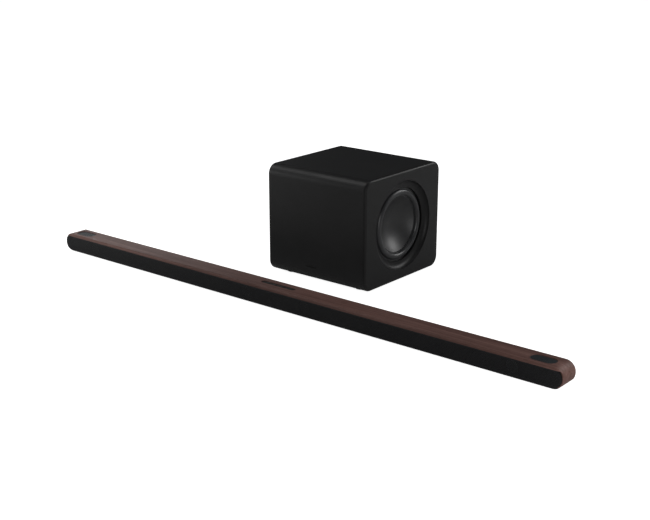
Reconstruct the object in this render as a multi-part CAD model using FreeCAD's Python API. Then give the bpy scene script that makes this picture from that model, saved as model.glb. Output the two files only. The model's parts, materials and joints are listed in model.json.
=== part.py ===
"""A slim soundbar with its wireless subwoofer, in millimetres.

The bar lies along X with its grille facing -Y. The origin is on the surface that the bar stands on, under
the middle of the bar. The subwoofer is a separate box that stands behind the bar. Its front faces -Y, and
its woofer fires along +X. build() writes one STEP file for each node.
"""
import math
import os

import FreeCAD
import Part

V = FreeCAD.Vector

# ---- bar: overall sizes --------------------------------------------------------------------------
bar_length = 1160.0
bar_depth = 42.0
bar_height = 38.0
bar_foot_height = 1.2
bar_end_radius = 17.5          # the ends are almost half round when seen from the front

# ---- bar: shells ---------------------------------------------------------------------------------
skin_wall = 1.8
skin_edge_radius = 3.0         # rolled front edge of the top
skin_lip = 5.0                 # how far the skin turns down over the front
skin_bottom = 5.0              # the skin ends here, on the shoulder of the bottom cover
shell_gap = 0.2                # clearance between one shell and the next
chassis_wall = 2.0
chassis_floor = 2.2
grille_sheet = 0.8
grille_return = 3.0            # depth of the grille's turned-back rim
grille_edge_radius = 2.0
baffle_thickness = 2.0
baffle_air = 2.6               # space between the grille sheet and the baffle
deck_thickness = 2.0
deck_drop = 1.6                # space between the deck and the underside of the skin
plug_recess = 1.0              # grilles and key strip sit this far below the top
flange_thickness = 0.8
flange_overlap = 2.0           # flanges reach this far under the skin

# ---- bar: openings in the top --------------------------------------------------------------------
oval_end_inset = 44.0          # from the end of the bar to the middle of an oval
oval_y = -1.0
oval_length = 46.0
oval_width = 25.0
slot_x = -9.0
slot_y = 3.0
slot_length = 80.0
slot_width = 10.0
window_end_inset = 84.0
window_y = -14.6
window_length = 12.0
window_width = 2.0
insert_gap = 0.15              # clearance of an insert in its hole

# ---- bar: keys -----------------------------------------------------------------------------------
key_names = ["power_button", "volume_down_button", "volume_up_button", "microphone_button"]
key_pitch = 18.0
key_length = 11.4
key_width = 4.4
key_rise = 0.5                 # height of a key above its strip
key_gap = 0.2
key_skirt = 0.7                # how far a key's hidden skirt is wider than the key
key_skirt_thickness = 0.6
key_travel = 0.5
deck_window_margin = 1.0       # the deck's window is this much wider than the slot
switch_length = 6.0
switch_width = 3.5
board_thickness = 1.6
control_board_margin = 8.0

# ---- bar: speakers -------------------------------------------------------------------------------
outer_mid_end_inset = 89.0
centre_mid_x = 70.0
mid_names = ["outer_left", "centre_left", "centre_right", "outer_right"]
up_names = ["left", "right"]
tweeter_flange_radius = 11.0
tweeter_flange_thickness = 1.6
tweeter_dome_radius = 6.5
tweeter_dome_height = 2.6
tweeter_dome_wall = 0.4
tweeter_can_radius = 9.0
tweeter_can_depth = 8.0

# ---- bar: electronics, sockets and fixings -------------------------------------------------------
foot_pad_length = 40.0
foot_pad_width = 12.0
foot_pad_count = 5
foot_pad_end_inset = 80.0
tray_x = 180.0                 # middle of the socket tray in the back
tray_length = 100.0
tray_bottom = 9.0
tray_top = 27.0
tray_depth = 7.0
tray_wall = 1.4
socket_pitch = 28.0
socket_depth = 12.0
hdmi_width = 15.2
hdmi_height = 6.0
hdmi_wall = 0.5
hdmi_tongue_width = 11.6
hdmi_tongue_height = 1.4
round_socket_side = 9.0
optical_bore_radius = 1.8
dc_bore_radius = 2.8
dc_pin_radius = 1.0
socket_floor = 2.0             # wall behind the bores
main_board_overhang = 45.0     # how far the main board reaches past each end of the tray
main_board_width = 26.0
main_board_lift = 5.0          # height of the main board above the floor
chip_side = 16.0
chip_height = 2.4
spreader_length = 24.0
spreader_thickness = 2.5
post_radius = 2.5
wireless_x = -185.0
wireless_y = 8.5
wireless_length = 34.0
wireless_width = 12.0
wireless_margin = 1.5
wireless_can_height = 2.2
harness_inset = 9.6            # from the back of the baffle to the flat cable
harness_width = 6.0
harness_thickness = 1.0
bracket_end_inset = 180.0      # from the end of the bar to a wall bracket insert
insert_radius = 3.0
insert_bore_radius = 1.65
insert_length = 7.0
insert_floor = 1.0
boss_wall = 1.8
bar_screw_end_inset = 130.0
inner_bar_screw_xs = [-270.0, -100.0, 60.0, 290.0]
bar_screw_y = 9.0
bar_post_radius = 3.2
screw_shank_radius = 1.25
screw_head_radius = 2.6
screw_head_height = 1.2
screw_length = 9.0
screw_gap = 0.1

# ---- subwoofer: overall sizes --------------------------------------------------------------------
sub_x = -37.0
sub_y = 260.0
sub_width = 238.0
sub_depth = 238.0
sub_height = 217.0
sub_foot_height = 4.0
sub_corner_radius = 20.0
sub_edge_radius = 5.0
sub_wall = 9.0
driver_panel_thickness = 14.0
plain_panel_thickness = 9.0
flare_radius = 87.0
flare_depth = 9.0
driver_hole_radius = 73.0
sub_foot_radius = 11.0
sub_foot_inset = 34.0
foot_socket_depth = 1.0
badge_x = -10.0
badge_length = 24.0
badge_height = 2.4
badge_thickness = 0.5
badge_z = 31.0

# ---- subwoofer: amplifier panel ------------------------------------------------------------------
amp_panel_width = 130.0
amp_panel_height = 150.0
amp_panel_thickness = 3.0
amp_panel_corner = 6.0
amp_opening_margin = 9.0       # ledge that the panel is screwed to
amp_board_width = 90.0
amp_board_height = 110.0
amp_board_gap = 12.0           # length of the pillars between the panel and the board
transformer_side = 32.0
transformer_height = 26.0
capacitor_radius = 9.0
capacitor_height = 24.0
inlet_width = 16.0
inlet_height = 11.0
inlet_depth = 14.0
inlet_wall = 1.2
inlet_pin_radius = 1.2
inlet_pin_spacing = 8.6
inlet_x = 24.0                 # sideways place of the inlet on the panel
inlet_drop = 56.5              # how far the inlet is below the middle of the panel
pair_button_radius = 3.0
pair_button_rise = 1.0
pair_button_travel = 0.5
pair_button_x = -30.0
link_light_radius = 1.5
link_light_x = -46.0
panel_control_rise = 9.5       # height of the button and light above the middle of the panel

# ---- fasteners of the subwoofer ------------------------------------------------------------------
sub_screw_radius = 1.8
sub_screw_head_radius = 3.4
sub_screw_head_height = 2.0
amp_screw_bite = 4.5           # how far the panel's screws reach into the cabinet
woofer_screw_count = 6
woofer_screw_circle = 77.5
woofer_screw_skin = 1.0        # wood left between a screw's tip and the flare

# ---- derived sizes -------------------------------------------------------------------------------
front = -bar_depth / 2
back = bar_depth / 2
grille_back = front + grille_return
baffle_front = front + grille_sheet + baffle_air
baffle_back = baffle_front + baffle_thickness
outline_z = (bar_foot_height + bar_height) / 2
skin_under = bar_height - skin_wall
deck_top = skin_under - deck_drop
deck_under = deck_top - deck_thickness
floor_top = bar_foot_height + chassis_floor
screw_seat = bar_foot_height + screw_head_height + screw_gap
chassis_inset = skin_wall + shell_gap
cavity_inset = chassis_inset + chassis_wall
chassis_back = back - 2 * shell_gap
cavity_back = chassis_back - chassis_wall
end_centre_x = bar_length / 2 - bar_end_radius
tweeter_xs = [-end_centre_x, 0.0, end_centre_x]
oval_x = bar_length / 2 - oval_end_inset
window_x = window_end_inset - bar_length / 2
outer_mid_x = bar_length / 2 - outer_mid_end_inset
mid_xs = [-outer_mid_x, -centre_mid_x, centre_mid_x, outer_mid_x]
foot_pad_reach = bar_length / 2 - foot_pad_end_inset
foot_pad_xs = [foot_pad_reach * (2 * i / (foot_pad_count - 1) - 1) for i in range(foot_pad_count)]
bracket_x = bar_length / 2 - bracket_end_inset
outer_bar_screw_x = bar_length / 2 - bar_screw_end_inset
bar_screw_xs = [-outer_bar_screw_x] + inner_bar_screw_xs + [outer_bar_screw_x]
plug_top = bar_height - plug_recess
main_board_bottom = floor_top + main_board_lift
socket_z = main_board_bottom + board_thickness + hdmi_height / 2
socket_mouth = chassis_back - tray_depth
main_board_back = socket_mouth - tray_wall - shell_gap
main_board_front = main_board_back - main_board_width
main_board_length = tray_length + 2 * main_board_overhang
chip_xs = [tray_x + side * (tray_length / 2 + chip_side) for side in (-1, 1)]
bottom = sub_foot_height
sub_middle_z = (sub_foot_height + sub_height) / 2
sub_right = sub_x + sub_width / 2
sub_left = sub_x - sub_width / 2
sub_front = sub_y - sub_depth / 2
sub_back = sub_y + sub_depth / 2
woofer_plane = sub_right - driver_panel_thickness
woofer_screw_depth = driver_panel_thickness - flare_depth - woofer_screw_skin
panel_front = sub_back - amp_panel_thickness
panel_middle_z = sub_middle_z
inlet_z = panel_middle_z - inlet_drop
panel_control_z = panel_middle_z + panel_control_rise


# ---- small helpers -------------------------------------------------------------------------------
def block(x0, x1, y0, y1, z0, z1):
    return Part.makeBox(x1 - x0, y1 - y0, z1 - z0, V(x0, y0, z0))


def rod(radius, start, direction, length):
    return Part.makeCylinder(radius, length, V(*start), V(*direction))


def line(a, b):
    return Part.LineSegment(a, b).toShape()


def rounded_wire(width, height, radius, to_point):
    """A rounded rectangle about the middle, where to_point turns (across, up) into a point in space."""
    w, h, r = width / 2, height / 2, radius
    k = r * (1 - math.sqrt(0.5))
    corners = [
        ((w, -h + r), (w, h - r), (w - k, h - k), (w - r, h)),
        ((w - r, h), (-w + r, h), (-w + k, h - k), (-w, h - r)),
        ((-w, h - r), (-w, -h + r), (-w + k, -h + k), (-w + r, -h)),
        ((-w + r, -h), (w - r, -h), (w - k, -h + k), (w, -h + r)),
    ]
    edges = []
    for start, end, middle, turn in corners:
        if math.dist(start, end) > 1e-6:
            edges.append(line(to_point(*start), to_point(*end)))
        edges.append(Part.Arc(to_point(*end), to_point(*middle), to_point(*turn)).toShape())
    return Part.Wire(edges)


def bar_slab(inset, y0, y1):
    """The bar's front outline, taken in by inset all round, from y0 to y1."""
    width = bar_length - 2 * inset
    height = bar_height - bar_foot_height - 2 * inset
    wire = rounded_wire(width, height, bar_end_radius - inset, lambda u, v: V(u, y0, outline_z + v))
    return Part.Face(wire).extrude(V(0, y1 - y0, 0))


def bar_slice(z0, z1):
    """Everything of the bar between two heights."""
    return block(-bar_length, bar_length, 2 * front, 2 * back, z0, z1)


def sub_slab(inset, x0, x1):
    """The subwoofer's side outline, taken in by inset all round, from x0 to x1."""
    height = sub_height - sub_foot_height - 2 * inset
    radius = max(sub_corner_radius - inset, sub_edge_radius)
    wire = rounded_wire(sub_depth - 2 * inset, height, radius,
                        lambda u, v: V(x0, sub_y + u, sub_middle_z + v))
    return Part.Face(wire).extrude(V(x1 - x0, 0, 0))


def stadium(x, y, length, width, z0, z1):
    """An upright plug with half-round ends."""
    half = (length - width) / 2
    middle = block(x - half, x + half, y - width / 2, y + width / 2, z0, z1)
    ends = [rod(width / 2, (x + s * half, y, z0), (0, 0, 1), z1 - z0) for s in (-1, 1)]
    return middle.fuse(ends).removeSplitter()


def lathe(edges):
    """A solid of revolution about Z from a closed profile in the XZ plane."""
    return Part.Face(Part.Wire(edges)).revolve(V(0, 0, 0), V(0, 0, 1), 360)


def turned(points):
    """A solid of revolution about Z from the corners (radius, z) of a straight-sided profile."""
    corners = [V(r, 0, z) for r, z in points]
    return lathe([line(a, b) for a, b in zip(corners, corners[1:] + corners[:1])])


def tube(outer, inner, z0, z1):
    return turned([(inner, z0), (outer, z0), (outer, z1), (inner, z1)])


def placed(shape, point, direction):
    """Moves a shape made along +Z so that its origin is at point and +Z is along direction."""
    turn = FreeCAD.Rotation(V(0, 0, 1), V(*direction))
    moved = shape.copy()
    moved.Placement = FreeCAD.Placement(V(*point), turn)
    return moved


def group(shapes):
    """Separate solids that share one node."""
    solids = [s for shape in shapes for s in shape.Solids]
    return Part.makeCompound(solids)


# ---- loudspeaker drive units ---------------------------------------------------------------------
class DriveUnit:
    """A moving-coil drive unit that fires along +Z, with the front of its flange at z = 0."""

    def __init__(self, flange_radius, cone_radius, roll_radius, rubber, dish_depth, cone_wall, coil_radius,
                 coil_wall, basket_depth, basket_wall, motor_radius, plate, magnet_height, coil_reach):
        self.flange_radius = flange_radius
        self.cone_radius = cone_radius
        self.roll_radius = roll_radius
        self.rubber = rubber
        self.dish_depth = dish_depth
        self.cone_wall = cone_wall
        self.coil_radius = coil_radius
        self.coil_wall = coil_wall
        self.basket_depth = basket_depth
        self.basket_wall = basket_wall
        self.motor_radius = motor_radius
        self.plate = plate
        self.magnet_height = magnet_height
        self.coil_reach = coil_reach
        self.lip = roll_radius * 0.5
        self.roll_outer = cone_radius + 2 * roll_radius
        self.lip_outer = self.roll_outer + self.lip
        self.air = rubber * 0.25           # between the cone's rim and the rubber
        self.gap = coil_wall * 0.75        # between the coil and the iron, on each side
        self.magnet_radius = motor_radius * 1.05
        self.depth = basket_depth + 2 * plate + magnet_height

    def basket(self):
        w, depth = self.basket_wall, self.basket_depth
        throat = self.coil_radius + self.coil_wall + self.gap
        foot = self.motor_radius * 0.92
        return turned([
            (self.roll_outer, 0), (self.flange_radius, 0), (self.flange_radius, -w),
            (self.roll_outer + w, -w), (foot + w, -depth), (throat, -depth), (throat, w - depth),
            (foot, w - depth), (self.roll_outer, -w),
        ])

    def surround(self):
        """Half-roll rubber ring with a flat lip on each side."""
        r, t = self.roll_radius, self.rubber
        middle = self.cone_radius + r
        shoulder = math.sqrt((r + t) ** 2 - t ** 2)
        inner = self.cone_radius - self.lip
        return lathe([
            line(V(inner, 0, 0), V(self.cone_radius, 0, 0)),
            Part.Arc(V(self.cone_radius, 0, 0), V(middle, 0, r), V(self.roll_outer, 0, 0)).toShape(),
            line(V(self.roll_outer, 0, 0), V(self.lip_outer, 0, 0)),
            line(V(self.lip_outer, 0, 0), V(self.lip_outer, 0, t)),
            line(V(self.lip_outer, 0, t), V(middle + shoulder, 0, t)),
            Part.Arc(V(middle + shoulder, 0, t), V(middle, 0, r + t), V(middle - shoulder, 0, t)).toShape(),
            line(V(middle - shoulder, 0, t), V(inner, 0, t)),
            line(V(inner, 0, t), V(inner, 0, 0)),
        ])

    def dish(self):
        """Smooth concave cone with a flat rim under the inner lip of the surround."""
        top, w = -self.air, self.cone_wall
        rim = self.cone_radius - self.lip

        def sag(radius, depth):
            curve = (rim ** 2 + depth ** 2) / (2 * depth)
            return curve - math.sqrt(curve ** 2 - radius ** 2) - depth

        half = rim * 0.6
        return lathe([
            line(V(self.cone_radius, 0, top), V(rim, 0, top)),
            Part.Arc(V(rim, 0, top), V(half, 0, top + sag(half, self.dish_depth)),
                     V(0, 0, top - self.dish_depth)).toShape(),
            line(V(0, 0, top - self.dish_depth), V(0, 0, top - self.dish_depth - w)),
            Part.Arc(V(0, 0, top - self.dish_depth - w), V(half, 0, top - w + sag(half, self.dish_depth)),
                     V(rim, 0, top - w)).toShape(),
            line(V(rim, 0, top - w), V(self.cone_radius, 0, top - w)),
            line(V(self.cone_radius, 0, top - w), V(self.cone_radius, 0, top)),
        ])

    def coil(self):
        """Voice coil on its former, from the back of the dish down into the magnet gap."""
        r = self.coil_radius
        former = tube(r + self.coil_wall, r, -self.coil_reach, -self.air - self.cone_wall)
        pieces = former.cut(self.dish()).Solids
        return min(pieces, key=lambda piece: piece.BoundBox.ZMin)

    def motor(self):
        """Front plate, ring magnet and back plate with its pole, as three solids."""
        top = -self.basket_depth
        bore = self.coil_radius + self.coil_wall + self.gap
        pole = self.coil_radius - self.gap
        below_plate = top - self.plate
        below_magnet = below_plate - self.magnet_height
        front_plate = tube(self.motor_radius, bore, below_plate, top)
        magnet = tube(self.magnet_radius, bore * 1.2, below_magnet, below_plate)
        back_plate = turned([
            (0, below_magnet - self.plate), (self.motor_radius, below_magnet - self.plate),
            (self.motor_radius, below_magnet), (pole, below_magnet), (pole, top), (0, top),
        ])
        return [front_plate, magnet, back_plate]


small_unit = DriveUnit(
    flange_radius=12.6, cone_radius=8.4, roll_radius=1.1, rubber=0.4, dish_depth=2.6, cone_wall=0.4,
    coil_radius=4.4, coil_wall=0.4, basket_depth=7.0, basket_wall=0.9, motor_radius=8.0, plate=1.2,
    magnet_height=3.6, coil_reach=9.0,
)
woofer = DriveUnit(
    flange_radius=82.0, cone_radius=57.0, roll_radius=5.5, rubber=1.0, dish_depth=22.0, cone_wall=1.2,
    coil_radius=19.0, coil_wall=0.8, basket_depth=53.0, basket_wall=2.5, motor_radius=42.0, plate=6.0,
    magnet_height=20.0, coil_reach=66.0,
)
spider_depth = 34.0
spider_thickness = 0.6
spider_outer_radius = 45.0
spider_waves = 5
spider_wave_height = 0.7
spider_shelf_inner = 42.0
basket_windows = 6
basket_window_width = 34.0


# ---- bar shells ----------------------------------------------------------------------------------
def top_plugs(grow, z0, z1):
    """The shapes that pass through the top of the bar, each grown by grow on every side."""
    ovals = [stadium(side * oval_x, oval_y, oval_length + 2 * grow, oval_width + 2 * grow, z0, z1)
             for side in (-1, 1)]
    slot = stadium(slot_x, slot_y, slot_length + 2 * grow, slot_width + 2 * grow, z0, z1)
    window = stadium(window_x, window_y, window_length + 2 * grow, window_width + 2 * grow, z0, z1)
    return ovals, slot, window


def bar_skin():
    """Wood-look sleeve over the top and round both ends, open to the front, the back and below."""
    outer = bar_slab(0, front, back)
    front_edges = [
        e for e in outer.Edges
        if abs(e.BoundBox.YMax - front) < 1e-6 and e.BoundBox.ZMax > outline_z + bar_end_radius / 2
    ]
    outer = outer.makeFillet(skin_edge_radius, front_edges)
    skin = outer.cut(bar_slab(skin_wall, front + skin_wall, back + 1))
    skin = skin.cut(bar_slice(0, skin_bottom))
    face = block(-bar_length, bar_length, 2 * front, grille_back, 0, bar_height - skin_lip)
    skin = skin.cut(face)
    ovals, slot, window = top_plugs(0, skin_under - 1, bar_height + 1)
    return skin.cut(ovals + [slot, window])


def tray_block(grow, y0, y1):
    """The space of the socket tray, grown by grow on every side."""
    half = tray_length / 2 + grow
    return block(tray_x - half, tray_x + half, y0, y1, tray_bottom - grow, tray_top + grow)


def low_cavity():
    """Air space down to the floor, between the straight parts of the outline."""
    return block(-end_centre_x, end_centre_x, baffle_back, cavity_back, floor_top, outline_z)


def bar_floor():
    """Bottom cover, with the shoulder that the skin ends on."""
    floor = bar_slab(0, grille_back, back).common(bar_slice(0, skin_bottom)).cut(low_cavity())
    for x in bar_screw_xs:
        start, up = (x, bar_screw_y, 0), (0, 0, 1)
        pocket = rod(screw_head_radius + shell_gap, start, up, screw_seat)
        hole = rod(screw_shank_radius + screw_gap, start, up, floor_top)
        floor = floor.cut([pocket, hole])
    return floor.removeSplitter()


def bar_back():
    """Back cover, in one length on each side of the socket tray."""
    cover = bar_slab(chassis_inset, cavity_back, chassis_back).common(bar_slice(skin_bottom, deck_under))
    half = tray_length / 2 + shell_gap
    cover = cover.cut(block(tray_x - half, tray_x + half, front, 2 * back, 0, bar_height))
    return cover.cut([rod(insert_radius, (x, 0, outline_z), (0, 1, 0), bar_depth)
                      for x in (-bracket_x, bracket_x)])


def bar_end_walls():
    """Curved wall at each end, between the baffle and the back cover."""
    ring = bar_slab(chassis_inset, baffle_back, cavity_back)
    ring = ring.cut([bar_slab(cavity_inset, 2 * front, 2 * back), low_cavity()])
    return ring.common(bar_slice(skin_bottom, deck_under))


def top_deck():
    """Inner top plate that carries the screw posts, the main board and the wall bracket's inserts."""
    up = (0, 0, 1)
    deck = bar_slab(chassis_inset + shell_gap, baffle_back, chassis_back)
    deck = deck.common(bar_slice(deck_under, deck_top))
    hole_radius = small_unit.lip_outer + shell_gap
    holes = [rod(hole_radius, (side * oval_x, oval_y, 0), up, bar_height) for side in (-1, 1)]
    margin = 2 * deck_window_margin
    window = stadium(slot_x, slot_y, slot_length + margin, slot_width + margin, 0, bar_height)
    deck = deck.cut(holes + [window])
    for x in bar_screw_xs:
        deck = deck.fuse(rod(bar_post_radius, (x, bar_screw_y, floor_top), up, deck_under - floor_top))
        deck = deck.cut(rod(screw_shank_radius, (x, bar_screw_y, 0), up, screw_seat + screw_length))
    board_top = main_board_bottom + board_thickness
    deck = deck.fuse([rod(post_radius, (x, y, board_top), up, deck_under - board_top)
                      for x, y in board_post_places()])
    half = insert_radius + boss_wall
    for x in (-bracket_x, bracket_x):
        deck = deck.fuse(block(x - half, x + half, chassis_back - insert_length - boss_wall, cavity_back,
                               outline_z - half, deck_under))
        deck = deck.cut(rod(insert_radius, (x, chassis_back, outline_z), (0, -1, 0), insert_length))
    return deck.removeSplitter()


def front_baffle():
    """Plate behind the grille that carries the front drive units."""
    plate = bar_slab(chassis_inset, baffle_front, baffle_back).common(bar_slice(skin_bottom, deck_top))
    holes = [(x, small_unit.lip_outer + shell_gap) for x in mid_xs]
    holes += [(x, tweeter_dome_radius + shell_gap) for x in tweeter_xs]
    return plate.cut([rod(radius, (x, 2 * front, outline_z), (0, 1, 0), bar_depth) for x, radius in holes])


def front_grille():
    """Pressed metal pan that fills the front below the skin's lip."""
    top = bar_height - skin_lip - shell_gap
    outer = bar_slab(0, front, grille_back)
    rim = [e for e in outer.Edges if abs(e.BoundBox.YMax - front) < 1e-6]
    outer = outer.makeFillet(grille_edge_radius, rim).common(bar_slice(0, top))
    hollow = bar_slab(grille_sheet, front + grille_sheet, grille_back + 1)
    hollow = hollow.common(bar_slice(0, top - grille_sheet))
    return outer.cut(hollow)


def up_grilles():
    """Oval insert grilles over the two drive units that fire upwards."""
    made = []
    for s in (-1, 1):
        x = s * oval_x
        length, width = oval_length - 2 * insert_gap, oval_width - 2 * insert_gap
        body = stadium(x, oval_y, length, width, skin_under - flange_thickness, plug_top)
        flange_size = 2 * flange_overlap
        flange = stadium(x, oval_y, length + flange_size, width + flange_size,
                         skin_under - flange_thickness, skin_under)
        hollow = stadium(x, oval_y, length - 2 * grille_sheet, width - 2 * grille_sheet,
                         0, plug_top - grille_sheet)
        made.append(body.fuse(flange).cut(hollow))
    return made


# ---- bar controls --------------------------------------------------------------------------------
def key_places():
    """Middle of each key along X."""
    first = slot_x - key_pitch * (len(key_names) - 1) / 2
    return [first + i * key_pitch for i in range(len(key_names))]


def control_strip():
    """Recessed strip in the middle of the top, with a hole for each key."""
    low = skin_under - flange_thickness
    fit, overlap = 2 * insert_gap, 2 * flange_overlap
    strip = stadium(slot_x, slot_y, slot_length - fit, slot_width - fit, low, plug_top)
    flange = stadium(slot_x, slot_y, slot_length + overlap, slot_width + overlap, low, skin_under)
    hole_length, hole_width = key_length + 2 * key_gap, key_width + 2 * key_gap
    holes = [stadium(x, slot_y, hole_length, hole_width, 0, bar_height) for x in key_places()]
    return strip.fuse(flange).cut(holes).removeSplitter()


def key(x):
    """One push key: a cap with a wider skirt that the strip holds down."""
    strip_under = skin_under - flange_thickness
    skirt_top = strip_under - key_gap
    skirt_bottom = skirt_top - key_skirt_thickness
    cap = stadium(x, slot_y, key_length, key_width, skirt_bottom, plug_top + key_rise)
    wider = 2 * key_skirt
    skirt = stadium(x, slot_y, key_length + wider, key_width + wider, skirt_bottom, skirt_top)
    return cap.fuse(skirt).removeSplitter()


def control_board():
    """Circuit board under the deck with one tactile switch below each key."""
    half_length = slot_length / 2 + control_board_margin
    half_width = slot_width / 2 + control_board_margin / 2
    board = block(slot_x - half_length, slot_x + half_length, slot_y - half_width, slot_y + half_width,
                  deck_under - board_thickness, deck_under)
    key_bottom = skin_under - flange_thickness - key_gap - key_skirt_thickness
    switch_top = key_bottom - key_travel - screw_gap
    for x in key_places():
        board = board.fuse(block(x - switch_length / 2, x + switch_length / 2, slot_y - switch_width / 2,
                                 slot_y + switch_width / 2, deck_under, switch_top))
    return board


def sensor_window():
    """Small dark window near the front left of the top."""
    pane = stadium(window_x, window_y, window_length - 2 * insert_gap, window_width - 2 * insert_gap,
                   skin_under - flange_thickness, bar_height - insert_gap)
    flange = stadium(window_x, window_y, window_length + flange_overlap, window_width + flange_overlap / 2,
                     skin_under - flange_thickness, skin_under)
    return pane.fuse(flange).removeSplitter()


# ---- bar speakers --------------------------------------------------------------------------------
def mid_place(shape, x):
    return placed(shape, (x, baffle_back, outline_z), (0, -1, 0))


def up_place(shape, side):
    return placed(shape, (side * oval_x, oval_y, deck_under), (0, 0, 1))


def in_all_places(shapes):
    """Copies of the shapes at every front unit and both upward units."""
    front_copies = [mid_place(shape, x) for x in mid_xs for shape in shapes]
    return front_copies + [up_place(shape, side) for side in (-1, 1) for shape in shapes]


def tweeter_housings():
    """Flange and magnet can of each dome tweeter, behind the baffle."""
    flange = tube(tweeter_flange_radius, tweeter_dome_radius, -tweeter_flange_thickness, 0)
    can = turned([
        (0, -tweeter_can_depth), (tweeter_can_radius, -tweeter_can_depth),
        (tweeter_can_radius, -tweeter_flange_thickness), (0, -tweeter_flange_thickness),
    ])
    return [mid_place(flange.fuse(can), x) for x in tweeter_xs]


def tweeter_domes():
    """Domes that close the front of the tweeters."""
    r, h, w = tweeter_dome_radius - shell_gap, tweeter_dome_height, tweeter_dome_wall
    base = -tweeter_flange_thickness
    curve = (r ** 2 + h ** 2) / (2 * h)

    def rise(radius):
        return base + h - curve + math.sqrt(curve ** 2 - radius ** 2)

    dome = lathe([
        line(V(0, 0, base), V(r, 0, base)),
        Part.Arc(V(r, 0, base), V(r * 0.6, 0, rise(r * 0.6)), V(0, 0, base + h)).toShape(),
        line(V(0, 0, base + h), V(0, 0, base)),
    ])
    hollow = Part.makeSphere(curve - w, V(0, 0, base + h - curve)).common(
        Part.makeCylinder(r, h, V(0, 0, base)))
    return [mid_place(dome.cut(hollow), x) for x in tweeter_xs]


# ---- bar electronics and fixings -----------------------------------------------------------------
def board_post_places():
    half = main_board_length / 2 - 2 * post_radius
    ys = (main_board_front + 2 * post_radius, main_board_back - 2 * post_radius)
    return [(tray_x + s * half, y) for s in (-1, 1) for y in ys]


def main_board():
    """Main circuit board under its posts, with two processor packages."""
    z0 = main_board_bottom
    z1 = z0 + board_thickness
    board = block(tray_x - main_board_length / 2, tray_x + main_board_length / 2,
                  main_board_front, main_board_back, z0, z1)
    half = chip_side / 2
    chips = [block(x - half, x + half, -half, half, z1, z1 + chip_height) for x in chip_xs]
    return board.fuse(chips)


def heat_spreaders():
    """Aluminium plate on each processor package."""
    z0 = main_board_bottom + board_thickness + chip_height
    z1 = z0 + spreader_thickness
    half_x, half_y = spreader_length / 2, chip_side / 2
    return [block(x - half_x, x + half_x, -half_y, half_y, z0, z1) for x in chip_xs]


def wireless_module():
    """Radio board flat on the floor, with its shield can."""
    x, y = wireless_x, wireless_y
    half_length, half_width = wireless_length / 2, wireless_width / 2
    z1 = floor_top + board_thickness
    board = block(x - half_length, x + half_length, y - half_width, y + half_width, floor_top, z1)
    half_length -= wireless_margin
    half_width -= wireless_margin
    can = block(x - half_length, x + half_length, y - half_width, y + half_width,
                z1, z1 + wireless_can_height)
    return board.fuse(can)


def speaker_harness():
    """Flat cable along the floor with a riser to each drive unit and to the main board."""
    y0 = baffle_back + harness_inset
    half = harness_width / 2
    cable_end = end_centre_x - harness_width + half
    cable = block(-cable_end, cable_end, y0, y0 + harness_width, floor_top, floor_top + harness_thickness)
    front_end = outline_z - small_unit.magnet_radius - insert_gap
    up_end = deck_under - small_unit.depth - insert_gap
    ends = [(x, front_end) for x in mid_xs + [-cable_end + half, 0, cable_end - half]]
    ends += [(side * oval_x, up_end) for side in (-1, 1)]
    ends += [(tray_x, main_board_bottom)]
    risers = [block(x - half, x + half, y0, y0 + harness_thickness, floor_top, z1) for x, z1 in ends]
    return cable.fuse(risers)


def socket_xs():
    """Places of the HDMI, optical and DC sockets along X."""
    return [tray_x + i * socket_pitch for i in (-1, 0, 1)]


def socket_tray():
    """Insert in the back cover, with the recess that the cables plug into."""
    half = tray_length / 2
    face = block(tray_x - half, tray_x + half, cavity_back, chassis_back, skin_bottom, deck_under)
    tray = face.fuse(tray_block(0, socket_mouth - tray_wall, chassis_back))
    tray = tray.cut(tray_block(-tray_wall, socket_mouth, back + 1)).removeSplitter()
    hdmi_x, optical_x, dc_x = socket_xs()
    openings = [(hdmi_x, hdmi_width / 2, hdmi_height / 2)]
    openings += [(x, round_socket_side / 2, hdmi_height / 2) for x in (optical_x, dc_x)]
    for x, half_width, half_height in openings:
        tray = tray.cut(block(x - half_width - insert_gap, x + half_width + insert_gap, front, socket_mouth,
                              socket_z - half_height - insert_gap, socket_z + half_height + insert_gap))
    return tray


def hdmi_socket():
    """Metal shell with the contact tongue in its middle."""
    x = socket_xs()[0]
    w, h = hdmi_width / 2, hdmi_height / 2
    t, y0 = hdmi_wall, socket_mouth - socket_depth
    shell = block(x - w, x + w, y0, socket_mouth, socket_z - h, socket_z + h)
    shell = shell.cut(block(x - w + t, x + w - t, y0 + socket_floor, socket_mouth + 1,
                            socket_z - h + t, socket_z + h - t))
    tongue = block(x - hdmi_tongue_width / 2, x + hdmi_tongue_width / 2, y0, socket_mouth - t,
                   socket_z - hdmi_tongue_height / 2, socket_z + hdmi_tongue_height / 2)
    return shell.fuse(tongue)


def round_socket(x, bore_radius, pin_radius):
    """Block with a round bore, and a centre pin where pin_radius is over zero."""
    w, h = round_socket_side / 2, hdmi_height / 2
    body = block(x - w, x + w, socket_mouth - socket_depth, socket_mouth, socket_z - h, socket_z + h)
    depth = socket_depth - socket_floor
    body = body.cut(rod(bore_radius, (x, socket_mouth, socket_z), (0, -1, 0), depth))
    if pin_radius > 0:
        pin_length = depth - socket_floor
        body = body.fuse(rod(pin_radius, (x, socket_mouth - depth, socket_z), (0, 1, 0), pin_length))
    return body


def bracket_inserts():
    """Brass inserts in the back for the screws of a wall bracket."""
    made = []
    for s in (-1, 1):
        mouth, inwards = (s * bracket_x, chassis_back, outline_z), (0, -1, 0)
        body = rod(insert_radius, mouth, inwards, insert_length)
        made.append(body.cut(rod(insert_bore_radius, mouth, inwards, insert_length - insert_floor)))
    return made


def bar_feet():
    return [stadium(x, 0, foot_pad_length, foot_pad_width, 0, bar_foot_height) for x in foot_pad_xs]


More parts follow.
